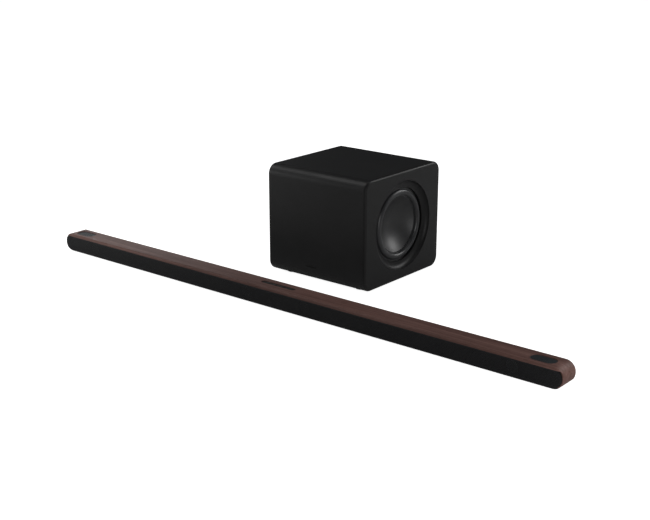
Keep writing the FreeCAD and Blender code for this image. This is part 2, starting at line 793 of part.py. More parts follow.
def bar_screws():
    """Screws that hold the bottom cover up against the posts of the deck."""
    made = []
    for x in bar_screw_xs:
        head = rod(screw_head_radius, (x, bar_screw_y, screw_seat), (0, 0, -1), screw_head_height)
        shank = rod(screw_shank_radius, (x, bar_screw_y, screw_seat), (0, 0, 1), screw_length)
        made.append(head.fuse(shank))
    return made


# ---- subwoofer cabinet ---------------------------------------------------------------------------
def sub_cabinet():
    """Rounded sleeve that forms the front, top, back and underside."""
    x0, x1 = sub_left + plain_panel_thickness, woofer_plane
    sleeve = sub_slab(0, x0, x1).cut(sub_slab(sub_wall, x0 - 1, x1 + 1))
    sleeve = sleeve.cut(amp_panel_block(shell_gap, panel_front, sub_back + 1))
    sleeve = sleeve.cut(amp_panel_block(-amp_opening_margin, sub_back - 2 * sub_wall, sub_back + 1))
    socket_top = bottom + foot_socket_depth
    for x, y in sub_foot_places():
        sleeve = sleeve.cut(rod(sub_foot_radius + shell_gap, (x, y, 0), (0, 0, 1), socket_top))
    for x, z in amp_screw_places():
        sleeve = sleeve.cut(rod(sub_screw_radius, (x, panel_front, z), (0, -1, 0), amp_screw_bite))
    return sleeve


def edge_rounded(panel, x_face):
    """Rounds the rim of a side panel on its outer face."""
    rim = [e for e in panel.Edges if e.BoundBox.XMax - e.BoundBox.XMin < 1e-6
           and abs(e.BoundBox.XMax - x_face) < 1e-6]
    return panel.makeFillet(sub_edge_radius, rim)


def driver_panel():
    """Right side of the cabinet, with the flared hole that the woofer fires through."""
    panel = edge_rounded(sub_slab(0, woofer_plane, sub_right), sub_right)
    hole = rod(driver_hole_radius, (woofer_plane, sub_y, sub_middle_z), (1, 0, 0), driver_panel_thickness)
    spread = flare_radius - driver_hole_radius
    lean = math.sqrt(0.5)
    flare = lathe([
        line(V(0, 0, -flare_depth), V(driver_hole_radius, 0, -flare_depth)),
        Part.Arc(V(driver_hole_radius, 0, -flare_depth),
                 V(driver_hole_radius + spread * lean, 0, -flare_depth * lean),
                 V(flare_radius, 0, 0)).toShape(),
        line(V(flare_radius, 0, 0), V(0, 0, 0)),
        line(V(0, 0, 0), V(0, 0, -flare_depth)),
    ])
    flare = placed(flare, (sub_right, sub_y, sub_middle_z), (1, 0, 0))
    panel = panel.cut([hole, flare])
    return panel.cut([rod(sub_screw_radius, (woofer_plane, y, z), (1, 0, 0), woofer_screw_depth)
                      for y, z in woofer_screw_places()])


def plain_panel():
    """Left side of the cabinet."""
    return edge_rounded(sub_slab(0, sub_left, sub_left + plain_panel_thickness), sub_left)


def sub_foot_places():
    return [(sub_x + sx * (sub_width / 2 - sub_foot_inset), sub_y + sy * (sub_depth / 2 - sub_foot_inset))
            for sx in (-1, 1) for sy in (-1, 1)]


def sub_feet():
    height = bottom + foot_socket_depth
    return [rod(sub_foot_radius, (x, y, 0), (0, 0, 1), height) for x, y in sub_foot_places()]


def badge():
    """Blank bar on the front, low down in the middle."""
    x = sub_x + badge_x
    return block(x - badge_length / 2, x + badge_length / 2, sub_front - badge_thickness, sub_front,
                 badge_z - badge_height / 2, badge_z + badge_height / 2)


# ---- subwoofer amplifier -------------------------------------------------------------------------
def amp_panel_block(grow, y0, y1):
    """Space of the amplifier panel, grown by grow on every side."""
    wire = rounded_wire(amp_panel_width + 2 * grow, amp_panel_height + 2 * grow, amp_panel_corner,
                        lambda u, v: V(sub_x + u, y0, panel_middle_z + v))
    return Part.Face(wire).extrude(V(0, y1 - y0, 0))


def amp_screw_places():
    """Corners and middles of the long sides of the amplifier panel."""
    half_w = (amp_panel_width - amp_opening_margin) / 2
    half_h = (amp_panel_height - amp_opening_margin) / 2
    return [(sub_x + s * half_w, panel_middle_z + t * half_h) for s in (-1, 1) for t in (-1, 0, 1)]


def amp_panel():
    """Back plate with holes for the inlet, the button, the light and its screws."""
    panel = amp_panel_block(0, panel_front, sub_back)
    panel = panel.cut(inlet_block(insert_gap, panel_front - 1, sub_back + 1))
    holes = [(sub_x + x, panel_control_z, radius + key_gap)
             for x, radius in ((pair_button_x, pair_button_radius), (link_light_x, link_light_radius))]
    holes += [(x, z, sub_screw_radius + screw_gap) for x, z in amp_screw_places()]
    panel = panel.cut([rod(radius, (x, sub_back, z), (0, -1, 0), amp_panel_thickness)
                       for x, z, radius in holes])
    for x, z in amp_pillar_places():
        panel = panel.fuse(rod(post_radius, (x, panel_front, z), (0, -1, 0), amp_board_gap))
    return panel


def amp_pillar_places():
    half_w, half_h = amp_board_width / 2 - 2 * post_radius, amp_board_height / 2 - 2 * post_radius
    return [(sub_x + s * half_w, panel_middle_z + t * half_h) for s in (-1, 1) for t in (-1, 1)]


def amp_screws():
    reach = amp_panel_thickness + amp_screw_bite
    made = []
    for x, z in amp_screw_places():
        head = rod(sub_screw_head_radius, (x, sub_back, z), (0, 1, 0), sub_screw_head_height)
        made.append(head.fuse(rod(sub_screw_radius, (x, sub_back, z), (0, -1, 0), reach)))
    return made


def inlet_block(grow, y0, y1):
    x, z = sub_x + inlet_x, inlet_z
    w, h = inlet_width / 2 + grow, inlet_height / 2 + grow
    return block(x - w, x + w, y0, y1, z - h, z + h)


def mains_inlet():
    """Two-pin mains socket, seated in the amplifier panel."""
    y1 = sub_back
    y0 = y1 - inlet_depth
    body = inlet_block(0, y0, y1)
    rim = inlet_block(inlet_wall, panel_front - inlet_wall, panel_front)
    body = body.fuse(rim).cut(inlet_block(-inlet_wall, y0 + inlet_wall, y1 + 1))
    for s in (-1, 1):
        start = (sub_x + inlet_x + s * inlet_pin_spacing / 2, y0 + inlet_wall / 2, inlet_z)
        body = body.fuse(rod(inlet_pin_radius, start, (0, 1, 0), inlet_depth * 0.75))
    return body


def pair_button():
    """Push button for pairing, with a skirt behind the panel."""
    x = sub_x + pair_button_x
    skirt = rod(pair_button_radius + key_skirt, (x, panel_front - key_gap, panel_control_z), (0, -1, 0),
                key_skirt_thickness)
    cap_start = (x, panel_front - key_gap - key_skirt_thickness, panel_control_z)
    cap_length = amp_panel_thickness + key_gap + key_skirt_thickness + pair_button_rise
    return skirt.fuse(rod(pair_button_radius, cap_start, (0, 1, 0), cap_length)).removeSplitter()


def link_light():
    """Light pipe beside the button."""
    x = sub_x + link_light_x
    pipe = rod(link_light_radius, (x, panel_front, panel_control_z), (0, 1, 0), amp_panel_thickness)
    return pipe.fuse(rod(link_light_radius + key_skirt, (x, panel_front, panel_control_z), (0, -1, 0),
                         key_skirt_thickness)).removeSplitter()


def amp_board():
    """Amplifier and power supply board with its transformer and two capacitors."""
    y1 = panel_front - amp_board_gap
    board = block(sub_x - amp_board_width / 2, sub_x + amp_board_width / 2, y1 - board_thickness, y1,
                  panel_middle_z - amp_board_height / 2, panel_middle_z + amp_board_height / 2)
    y0 = y1 - board_thickness
    z0 = panel_middle_z - amp_board_height / 4
    parts = [block(sub_x - transformer_side / 2, sub_x + transformer_side / 2, y0 - transformer_height, y0,
                   z0 - transformer_side / 2, z0 + transformer_side / 2)]
    for s in (-1, 1):
        parts.append(rod(capacitor_radius, (sub_x + s * amp_board_width / 4, y0, z0 + amp_board_height / 2),
                         (0, -1, 0), capacitor_height))
    stalk_end = panel_front - key_gap - key_skirt_thickness - pair_button_travel - screw_gap
    parts.append(rod(pair_button_radius / 2, (sub_x + pair_button_x, y1, panel_control_z), (0, 1, 0),
                     stalk_end - y1))
    return board.fuse(parts)


# ---- woofer --------------------------------------------------------------------------------------
def woofer_place(shape):
    return placed(shape, (woofer_plane, sub_y, sub_middle_z), (1, 0, 0))


def woofer_screw_places():
    step = 2 * math.pi / woofer_screw_count
    angles = [(i + 0.5) * step for i in range(woofer_screw_count)]
    return [(sub_y + woofer_screw_circle * math.cos(a), sub_middle_z + woofer_screw_circle * math.sin(a))
            for a in angles]


def woofer_basket():
    """Frame of the woofer, with a shelf for the spider and windows in its wall."""
    basket = woofer.basket()
    shelf_top = -spider_depth - spider_thickness
    shelf = tube(woofer.roll_outer, spider_shelf_inner, shelf_top - woofer.basket_wall, shelf_top)
    foot = woofer.motor_radius * 0.92 + woofer.basket_wall
    hull = turned([
        (0, 0), (woofer.roll_outer + woofer.basket_wall, -woofer.basket_wall), (foot, -woofer.basket_depth),
        (0, -woofer.basket_depth),
    ])
    basket = basket.fuse(shelf.common(hull))
    window_top = -4 * woofer.basket_wall
    window_bottom = shelf_top + woofer.basket_wall
    half = basket_window_width / 2
    for i in range(basket_windows):
        window = block(spider_shelf_inner, woofer.flange_radius, -half, half, window_bottom, window_top)
        window.rotate(V(0, 0, 0), V(0, 0, 1), 360 * i / basket_windows)
        basket = basket.cut(window)
    basket = woofer_place(basket.removeSplitter())
    for y, z in woofer_screw_places():
        basket = basket.cut(rod(sub_screw_radius + screw_gap, (woofer_plane + 1, y, z), (-1, 0, 0),
                                woofer.basket_wall + 2))
    return basket


def woofer_spider():
    """Corrugated ring that centres the voice coil, with a flat rim on the basket's shelf."""
    inner = woofer.coil_radius + woofer.coil_wall + shell_gap
    land = spider_shelf_inner - 2 * shell_gap
    step = (land - inner) / (2 * spider_waves)
    front_z, back_z = -spider_depth, -spider_depth - spider_thickness
    front_edges, back_edges = [], []
    for i in range(2 * spider_waves):
        r0 = inner + i * step
        side = spider_wave_height if i % 2 == 0 else -spider_wave_height
        for edges, z in ((front_edges, front_z), (back_edges, back_z)):
            edges.append(Part.Arc(V(r0, 0, z), V(r0 + step / 2, 0, z + side), V(r0 + step, 0, z)).toShape())
    outer = spider_outer_radius
    rim = [line(V(land, 0, front_z), V(outer, 0, front_z)), line(V(outer, 0, front_z), V(outer, 0, back_z)),
           line(V(outer, 0, back_z), V(land, 0, back_z))]
    back_edges.reverse()
    hub = [line(V(inner, 0, back_z), V(inner, 0, front_z))]
    return woofer_place(lathe(front_edges + rim + back_edges + hub))


def woofer_screws():
    x = woofer_plane - woofer.basket_wall
    reach = woofer.basket_wall + woofer_screw_depth
    made = []
    for y, z in woofer_screw_places():
        head = rod(sub_screw_head_radius, (x, y, z), (-1, 0, 0), sub_screw_head_height)
        made.append(head.fuse(rod(sub_screw_radius, (x, y, z), (1, 0, 0), reach)))
    return made


# ---- all nodes -----------------------------------------------------------------------------------
def bar_nodes():
    left_grille, right_grille = up_grilles()
    small_cone = small_unit.dish().fuse(small_unit.coil())
    small_surround = small_unit.surround()
    hdmi_x, optical_x, dc_x = socket_xs()
    nodes = {
        "bar_skin": bar_skin(),
        "bar_floor": bar_floor(),
        "bar_back": bar_back(),
        "bar_end_walls": bar_end_walls(),
        "top_deck": top_deck(),
        "front_baffle": front_baffle(),
        "front_grille": front_grille(),
        "up_grille_left": left_grille,
        "up_grille_right": right_grille,
        "control_strip": control_strip(),
        "bar_boards": group([main_board(), control_board(), wireless_module()]),
        "sensor_window": sensor_window(),
        "tweeter_housings": group(tweeter_housings()),
        "tweeter_domes": group(tweeter_domes()),
        "heat_spreaders": group(heat_spreaders()),
        "socket_tray": socket_tray(),
        "hdmi_socket": hdmi_socket(),
        "optical_socket": round_socket(optical_x, optical_bore_radius, 0),
        "dc_socket": round_socket(dc_x, dc_bore_radius, dc_pin_radius),
        "bracket_inserts": group(bracket_inserts()),
        "bar_feet": group(bar_feet()),
        "bar_screws": group(bar_screws()),
        "speaker_harness": speaker_harness(),
        "driver_baskets": group(in_all_places([small_unit.basket()])),
        "driver_motors": group(in_all_places(small_unit.motor())),
    }
    for name, x in zip(key_names, key_places()):
        nodes[name] = key(x)
    for name, x in zip(mid_names, mid_xs):
        nodes[f"mid_cone_{name}"] = mid_place(small_cone, x)
        nodes[f"mid_surround_{name}"] = mid_place(small_surround, x)
    for name, side in zip(up_names, (-1, 1)):
        nodes[f"up_cone_{name}"] = up_place(small_cone, side)
        nodes[f"up_surround_{name}"] = up_place(small_surround, side)
    return nodes


def sub_nodes():
    front_plate, magnet, back_plate = (woofer_place(s) for s in woofer.motor())
    return {
        "sub_cabinet": sub_cabinet(),
        "sub_driver_panel": driver_panel(),
        "sub_plain_panel": plain_panel(),
        "sub_badge": badge(),
        "sub_feet": group(sub_feet()),
        "amp_panel": amp_panel(),
        "amp_board": amp_board(),
        "amp_screws": group(amp_screws()),
        "mains_inlet": mains_inlet(),
        "pair_button": pair_button(),
        "link_light": link_light(),
        "woofer_basket": woofer_basket(),
        "woofer_surround": woofer_place(woofer.surround()),
        "woofer_cone": woofer_place(woofer.dish()),
        "woofer_coil": woofer_place(woofer.coil()),
        "woofer_spider": woofer_spider(),
        "woofer_plates": group([front_plate, back_plate]),
        "woofer_magnet": magnet,
        "woofer_screws": group(woofer_screws()),
    }


def build():
    os.makedirs("parts", exist_ok=True)
    nodes = {**bar_nodes(), **sub_nodes()}
    for name, shape in nodes.items():
        if not shape.isValid():
            raise ValueError(f"{name} is not a valid shape")
        shape.exportStep(f"parts/{name}.step")
        print(f"{name}: {len(shape.Solids)} solids, {shape.Volume / 1000:.2f} cm3")
    print(len(nodes), "nodes")


build()
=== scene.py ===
"""Looks of the soundbar and its subwoofer: materials, perforated grilles, surrounds, light and camera."""
import json
import math

import bmesh
import bpy
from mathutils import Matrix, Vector


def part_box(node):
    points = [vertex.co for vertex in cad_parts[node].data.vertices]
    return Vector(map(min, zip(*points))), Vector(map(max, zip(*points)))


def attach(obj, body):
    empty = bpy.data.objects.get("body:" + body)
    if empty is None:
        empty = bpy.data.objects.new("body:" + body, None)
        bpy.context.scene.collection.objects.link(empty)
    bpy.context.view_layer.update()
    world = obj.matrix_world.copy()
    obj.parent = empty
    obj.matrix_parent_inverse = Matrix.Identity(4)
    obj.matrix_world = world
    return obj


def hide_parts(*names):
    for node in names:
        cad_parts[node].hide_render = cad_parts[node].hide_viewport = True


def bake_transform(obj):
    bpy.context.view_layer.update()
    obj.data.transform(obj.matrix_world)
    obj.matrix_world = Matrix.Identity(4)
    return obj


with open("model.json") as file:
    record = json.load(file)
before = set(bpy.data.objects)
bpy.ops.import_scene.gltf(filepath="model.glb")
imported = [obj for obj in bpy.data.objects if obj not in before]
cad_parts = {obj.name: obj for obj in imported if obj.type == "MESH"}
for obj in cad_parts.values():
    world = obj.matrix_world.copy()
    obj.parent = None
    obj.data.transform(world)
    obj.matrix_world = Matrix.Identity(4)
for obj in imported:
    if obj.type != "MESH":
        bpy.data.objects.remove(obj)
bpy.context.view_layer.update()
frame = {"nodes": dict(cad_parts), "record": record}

NODES = frame["nodes"]
MM = 0.001

# ---- sizes that the looks need, in metres -----------------------------------------------------------------
GRILLE_SHEET = 0.8 * MM
FRONT_SHEET_INSET = 2.0 * MM     # from the grille's outline to the sheet; this border has no rim
BAR_END_RADIUS = 17.5 * MM
FRONT_HOLE_PITCH = 2.8 * MM
FRONT_HOLE_RADIUS = 0.95 * MM
FRONT_HOLE_MARGIN = 0.8 * MM     # solid border between the holes and the sheet's edge
OVAL_HOLE_PITCH = 1.9 * MM
OVAL_HOLE_RADIUS = 0.62 * MM
OVAL_HOLE_MARGIN = 0.5 * MM      # solid rim between the holes and the softened edge
OVAL_EDGE = 0.5 * MM
OVAL_FLANGE = 2.15 * MM          # the hidden flange round the insert
OVAL_STRAIGHT = 0.01 * MM        # keeps the two corners of a half-round end apart
MERGE_DISTANCE = 0.001 * MM
NO_LENGTH = 1e-9                 # an edge shorter than this has no direction
BEYOND = 10.0                    # further out than any outline
WOOFER_RING = (57.0 * MM, 5.5 * MM, 1.0 * MM)      # cone radius, roll radius, rubber
SMALL_RING = (8.4 * MM, 1.1 * MM, 0.4 * MM)

# ---- how finely curves are cut ----------------------------------------------------------------------------
FRONT_HOLE_CORNERS = 6
OVAL_HOLE_CORNERS = 12
FRONT_CORNER_STEPS = 24
OVAL_CORNER_STEPS = 20
OVAL_EDGE_STEPS = 5
ROLL_STEPS = 14
WOOFER_CUTS = (12, 14)           # sectors, and steps in each
SMALL_CUTS = (8, 6)
GRILLE_CREASE = math.radians(40)
RING_CREASE = math.radians(35)

# ---- stage ------------------------------------------------------------------------------------------------
WORLD_COLOUR = (0.95, 0.97, 1.0)
WORLD_LIGHT = 0.05
FLOOR_COLOUR = (0.8, 0.8, 0.8)
FLOOR_HALF = 6.0
FLOOR_DROP = 0.2 * MM            # clear of the feet
FLOOR_GLOW = (0.93, 1.0)         # under the object, and away from it
FLOOR_GLOW_REACH = (0.9, 1.8)    # distances from the middle between which the glow changes
LIGHTS = {                       # place, target, size, watts
    "back_right": ((1.1, 2.0, 1.0), (0.0, 0.15, 0.1), (1.0, 0.8), 14.0),
    "left_end": ((-2.1, 1.2, 0.6), (-0.4, 0.0, 0.0), (1.0, 0.8), 4.4),
    "top_left": ((-1.1, -0.3, 1.6), (-0.1, 0.15, 0.1), (0.9, 0.9), 7.5),
    "overhead": ((0.3, 0.2, 2.0), (0.2, 0.1, 0.0), (1.5, 1.5), 3.5),
    "front_right": ((1.3, -0.7, 0.45), (0.45, 0.0, 0.0), (0.5, 0.5), 3.2),
    "front_left": ((-1.1, -0.5, 0.36), (-0.45, 0.05, 0.08), (0.5, 0.5), 3.3),
    "right_end": ((1.5, 0.9, 0.7), (0.5, 0.0, 0.0), (0.6, 0.6), 0.8),
    "bar_end": ((0.8, -0.1, 0.12), (0.56, 0.0, 0.02), (0.12, 0.12), 0.25),
}
CAMERA_PLACE = (1.3445, -1.5116, 0.7264)
CAMERA_DIRECTION = (-0.6053, 0.7369, -0.3009)
CAMERA_LENS = 65.63              # millimetres, on a sensor of CAMERA_SENSOR
CAMERA_SENSOR = 36.0


# ---- materials --------------------------------------------------------------------------------------------
class Shade:
    """A Principled material, with short ways to add procedural detail in the row's own coordinates."""

    def __init__(self, name, roughness=0.5, specular=0.5, metallic=0.0):
        self.material = bpy.data.materials.new(name)
        self.material.use_nodes = True
        self.tree = self.material.node_tree
        self.shader = self.tree.nodes["Principled BSDF"]
        self.set("Roughness", roughness)
        self.set("Specular IOR Level", specular)
        self.set("Metallic", metallic)
        self.place = self.node("ShaderNodeTexCoord").outputs["Object"]

    def node(self, kind):
        return self.tree.nodes.new(kind)

    def link(self, out, into):
        self.tree.links.new(out, into)

    def set(self, socket, value):
        self.shader.inputs[socket].default_value = value

    def stretched(self, x, y, z):
        mapping = self.node("ShaderNodeMapping")
        mapping.inputs["Scale"].default_value = (x, y, z)
        self.link(self.place, mapping.inputs["Vector"])
        return mapping.outputs["Vector"]

    def noise(self, vector, scale=1.0, detail=4.0, rough=0.5, distortion=0.0):
        noise = self.node("ShaderNodeTexNoise")
        noise.inputs["Scale"].default_value = scale
        noise.inputs["Detail"].default_value = detail
        noise.inputs["Roughness"].default_value = rough
        noise.inputs["Distortion"].default_value = distortion
        self.link(vector, noise.inputs["Vector"])
        return noise.outputs["Fac"]

    def ramp(self, value, stops):
        ramp = self.node("ShaderNodeValToRGB")
        elements = ramp.color_ramp.elements
        while len(elements) < len(stops):
            elements.new(0.5)
        for element, (position, colour) in zip(elements, stops):
            element.position = position
            element.color = (*colour, 1.0)
        self.link(value, ramp.inputs["Fac"])
        return ramp.outputs["Color"]

    def spread(self, value, low, high, into):
        """Drives a shader socket from a 0 to 1 value, between low and high."""
        change = self.node("ShaderNodeMapRange")
        change.inputs["From Min"].default_value = 0.3
        change.inputs["From Max"].default_value = 0.7
        change.inputs["To Min"].default_value = low
        change.inputs["To Max"].default_value = high
        self.link(value, change.inputs["Value"])
        self.link(change.outputs["Result"], self.shader.inputs[into])

    def bump(self, heights):
        """Stacks bumps, given as (value, depth in metres)."""
        normal = None
        for value, depth in heights:
            bump = self.node("ShaderNodeBump")
            bump.inputs["Strength"].default_value = 1.0
            bump.inputs["Distance"].default_value = depth
            self.link(value, bump.inputs["Height"])
            if normal:
                self.link(normal, bump.inputs["Normal"])
            normal = bump.outputs["Normal"]
        self.link(normal, self.shader.inputs["Normal"])

    def multiply(self, a, b, factor):
        mix = self.node("ShaderNodeMix")
        mix.data_type = "RGBA"
        mix.blend_type = "MULTIPLY"
        mix.inputs["Factor"].default_value = factor
        self.link(a, mix.inputs["A"])
        self.link(b, mix.inputs["B"])
        return mix.outputs["Result"]


def moulded(name, dark, light, roughness, specular=0.25, grain=900.0, depth=0.00004, metallic=0.0):
    """Plastic, paint or rubber with a fine grain and slow changes of tone and gloss."""
    shade = Shade(name, roughness, specular, metallic)
    slow = shade.noise(shade.place, 9.0, 3.0)
    fine = shade.noise(shade.place, grain, 2.0)
    shade.link(shade.ramp(slow, [(0.3, dark), (0.7, light)]), shade.shader.inputs["Base Color"])
    shade.spread(slow, roughness - 0.05, roughness + 0.05, "Roughness")
    shade.bump([(fine, depth)])
    return shade.material


def wood_foil():
    """Dark walnut: long growth bands, finer streaks and short open pores, all along the bar."""
    shade = Shade("wood_foil", 0.5, 0.15)
    bands = shade.noise(shade.stretched(2.2, 75.0, 75.0), 1.0, 3.0, 0.55, 0.9)
    streaks = shade.noise(shade.stretched(9.0, 420.0, 420.0), 1.0, 4.0, 0.6, 0.3)
    pores = shade.noise(shade.stretched(60.0, 1900.0, 1900.0), 1.0, 2.0, 0.5)
    base = shade.ramp(bands, [(0.28, (0.110, 0.056, 0.046)), (0.48, (0.163, 0.088, 0.074)),
                              (0.72, (0.214, 0.122, 0.104))])
    tone = shade.ramp(streaks, [(0.30, (0.62, 0.60, 0.60)), (0.62, (1.0, 1.0, 1.0))])
    pits = shade.ramp(pores, [(0.34, (0.35, 0.33, 0.32)), (0.44, (1.0, 1.0, 1.0))])
    colour = shade.multiply(base, tone, 0.55)
    colour = shade.multiply(colour, pits, 0.5)
    shade.link(colour, shade.shader.inputs["Base Color"])
    shade.spread(streaks, 0.56, 0.46, "Roughness")
    shade.bump([(streaks, 0.00003), (pores, 0.00005)])
    return shade.material


def circuit_board():
    """Green solder mask with faint copper lines under it."""
    shade = Shade("circuit_board", 0.35, 0.5)
    cells = shade.node("ShaderNodeTexVoronoi")
    cells.feature = "DISTANCE_TO_EDGE"
    cells.inputs["Scale"].default_value = 260.0
    shade.link(shade.place, cells.inputs["Vector"])
    colour = shade.ramp(cells.outputs["Distance"], [(0.02, (0.03, 0.16, 0.06)), (0.10, (0.012, 0.075, 0.03))])
    shade.link(colour, shade.shader.inputs["Base Color"])
    shade.bump([(cells.outputs["Distance"], 0.00002)])
    return shade.material


def woven(name, dark, light, threads):
    """Treated cloth of the domes and the spider."""
    shade = Shade(name, 0.8, 0.2)
    wave = shade.node("ShaderNodeTexChecker")
    wave.inputs["Scale"].default_value = threads
    shade.link(shade.place, wave.inputs["Vector"])
    colour = shade.ramp(wave.outputs["Fac"], [(0.2, dark), (0.8, light)])
    shade.link(colour, shade.shader.inputs["Base Color"])
    shade.bump([(wave.outputs["Fac"], 0.00005)])
    return shade.material


def make_materials():
    """One material for each slot of the record."""
    return {
        "wood_foil": wood_foil(),
        "black_plastic": moulded("black_plastic", (0.010, 0.010, 0.0105), (0.015, 0.015, 0.0155), 0.55),
        "black_mesh": moulded("black_mesh", (0.010, 0.010, 0.011), (0.014, 0.014, 0.015), 0.5, 0.3),
        "grey_mesh": moulded("grey_mesh", (0.026, 0.031, 0.034), (0.034, 0.040, 0.044), 0.5, 0.3),
        "strip_plastic": moulded("strip_plastic", (0.018, 0.019, 0.018), (0.024, 0.025, 0.023), 0.45),
        "key_plastic": moulded("key_plastic", (0.026, 0.027, 0.026), (0.032, 0.033, 0.031), 0.4, 0.3),
        "dark_window": moulded("dark_window", (0.004, 0.004, 0.005), (0.006, 0.006, 0.007), 0.15, 0.5,
                               depth=0.000002),
        "rubber": moulded("rubber", (0.012, 0.012, 0.012), (0.018, 0.018, 0.018), 0.8, 0.2, 600.0),
        "cable_sheath": moulded("cable_sheath", (0.015, 0.015, 0.015), (0.02, 0.02, 0.02), 0.6),
        "basket_steel": moulded("basket_steel", (0.015, 0.015, 0.015), (0.022, 0.022, 0.022), 0.45, 0.4),
        "magnet": moulded("magnet", (0.045, 0.045, 0.047), (0.065, 0.065, 0.067), 0.7, 0.3, 500.0),
        "sub_vinyl": moulded("sub_vinyl", (0.0095, 0.0095, 0.0098), (0.0125, 0.0125, 0.0128), 0.42, 0.25,
                             700.0, 0.00006),
        "surround_rubber": moulded("surround_rubber", (0.023, 0.0235, 0.025), (0.030, 0.0305, 0.0325),
                                   0.34, 0.5),
        "cone_black": moulded("cone_black", (0.009, 0.009, 0.0099), (0.012, 0.012, 0.0131),
                              0.46, 0.8, 1200.0),
        "aluminium": moulded("aluminium", (0.55, 0.55, 0.56), (0.65, 0.65, 0.66), 0.35, 0.5, metallic=1.0),
        "socket_metal": moulded("socket_metal", (0.45, 0.45, 0.45), (0.55, 0.55, 0.55), 0.3, 0.5,
                                metallic=1.0),
        "brass": moulded("brass", (0.65, 0.46, 0.20), (0.74, 0.54, 0.25), 0.35, 0.5, metallic=1.0),
        "screw_steel": moulded("screw_steel", (0.05, 0.05, 0.052), (0.08, 0.08, 0.082), 0.4, 0.5,
                               metallic=0.8),
        "badge_metal": moulded("badge_metal", (0.004, 0.004, 0.004), (0.006, 0.006, 0.006), 0.35, 0.2),
        "circuit_board": circuit_board(),
        "dome_silk": woven("dome_silk", (0.030, 0.026, 0.018), (0.050, 0.044, 0.030), 2500.0),
    }


# ---- mesh helpers -----------------------------------------------------------------------------------------
def add_piece(mesh, slot, node):
    """Makes an object of the mesh, with its slot's material, in the CAD node's place."""
    piece = bpy.data.objects.new(mesh.name, mesh)
    bpy.context.scene.collection.objects.link(piece)
    piece.data.materials.append(MATERIALS[slot])
    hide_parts(node)
    return piece


def mesh_from(name, points, faces, crease):
    """A mesh with its doubled points merged, smooth up to the crease angle."""
    mesh = bpy.data.meshes.new(name)
    mesh.from_pydata([tuple(p) for p in points], [], faces)
    work = bmesh.new()
    work.from_mesh(mesh)
    bmesh.ops.remove_doubles(work, verts=work.verts, dist=MERGE_DISTANCE)
    bmesh.ops.recalc_face_normals(work, faces=work.faces)
    work.to_mesh(mesh)
    work.free()
    mesh.shade_smooth()
    mesh.set_sharp_from_angle(angle=crease)
    return mesh


def arc(centre, radius, start, end, steps):
    """Points on an arc in the profile plane, from one angle to another, in degrees."""
    angles = [math.radians(start + (end - start) * i / steps) for i in range(steps + 1)]
    return [(centre[0] + radius * math.cos(a), centre[1] + radius * math.sin(a)) for a in angles]


def rounded_outline(width, height, radius, steps):
    """A rounded rectangle about the origin, anticlockwise."""
    points = []
    for sx, sy, start in ((1, 1, 0), (-1, 1, 90), (-1, -1, 180), (1, -1, 270)):
        centre = (sx * (width / 2 - radius), sy * (height / 2 - radius))
        points += arc(centre, radius, start, start + 90, steps)
    return points


def clip(polygon, outline):
    """The part of a convex polygon inside a convex anticlockwise outline."""
    for (ax, ay), (bx, by) in zip(outline, outline[1:] + outline[:1]):
        if math.hypot(bx - ax, by - ay) < NO_LENGTH:
            continue

        def side(p):
            return (bx - ax) * (p[1] - ay) - (by - ay) * (p[0] - ax)

        kept = []
        for p, q in zip(polygon, polygon[1:] + polygon[:1]):
            sp, sq = side(p), side(q)
            if sp >= 0:
                kept.append(p)
            if (sp >= 0) != (sq >= 0):
                t = sp / (sp - sq)
                kept.append((p[0] + t * (q[0] - p[0]), p[1] + t * (q[1] - p[1])))
        polygon = kept
        if len(polygon) < 3:
            return []
    return polygon


def inside(point, outline):
    """Whether the point lies in a convex anticlockwise outline."""
    for (ax, ay), (bx, by) in zip(outline, outline[1:] + outline[:1]):
        if (bx - ax) * (point[1] - ay) - (by - ay) * (point[0] - ax) < 0:
            return False
    return True


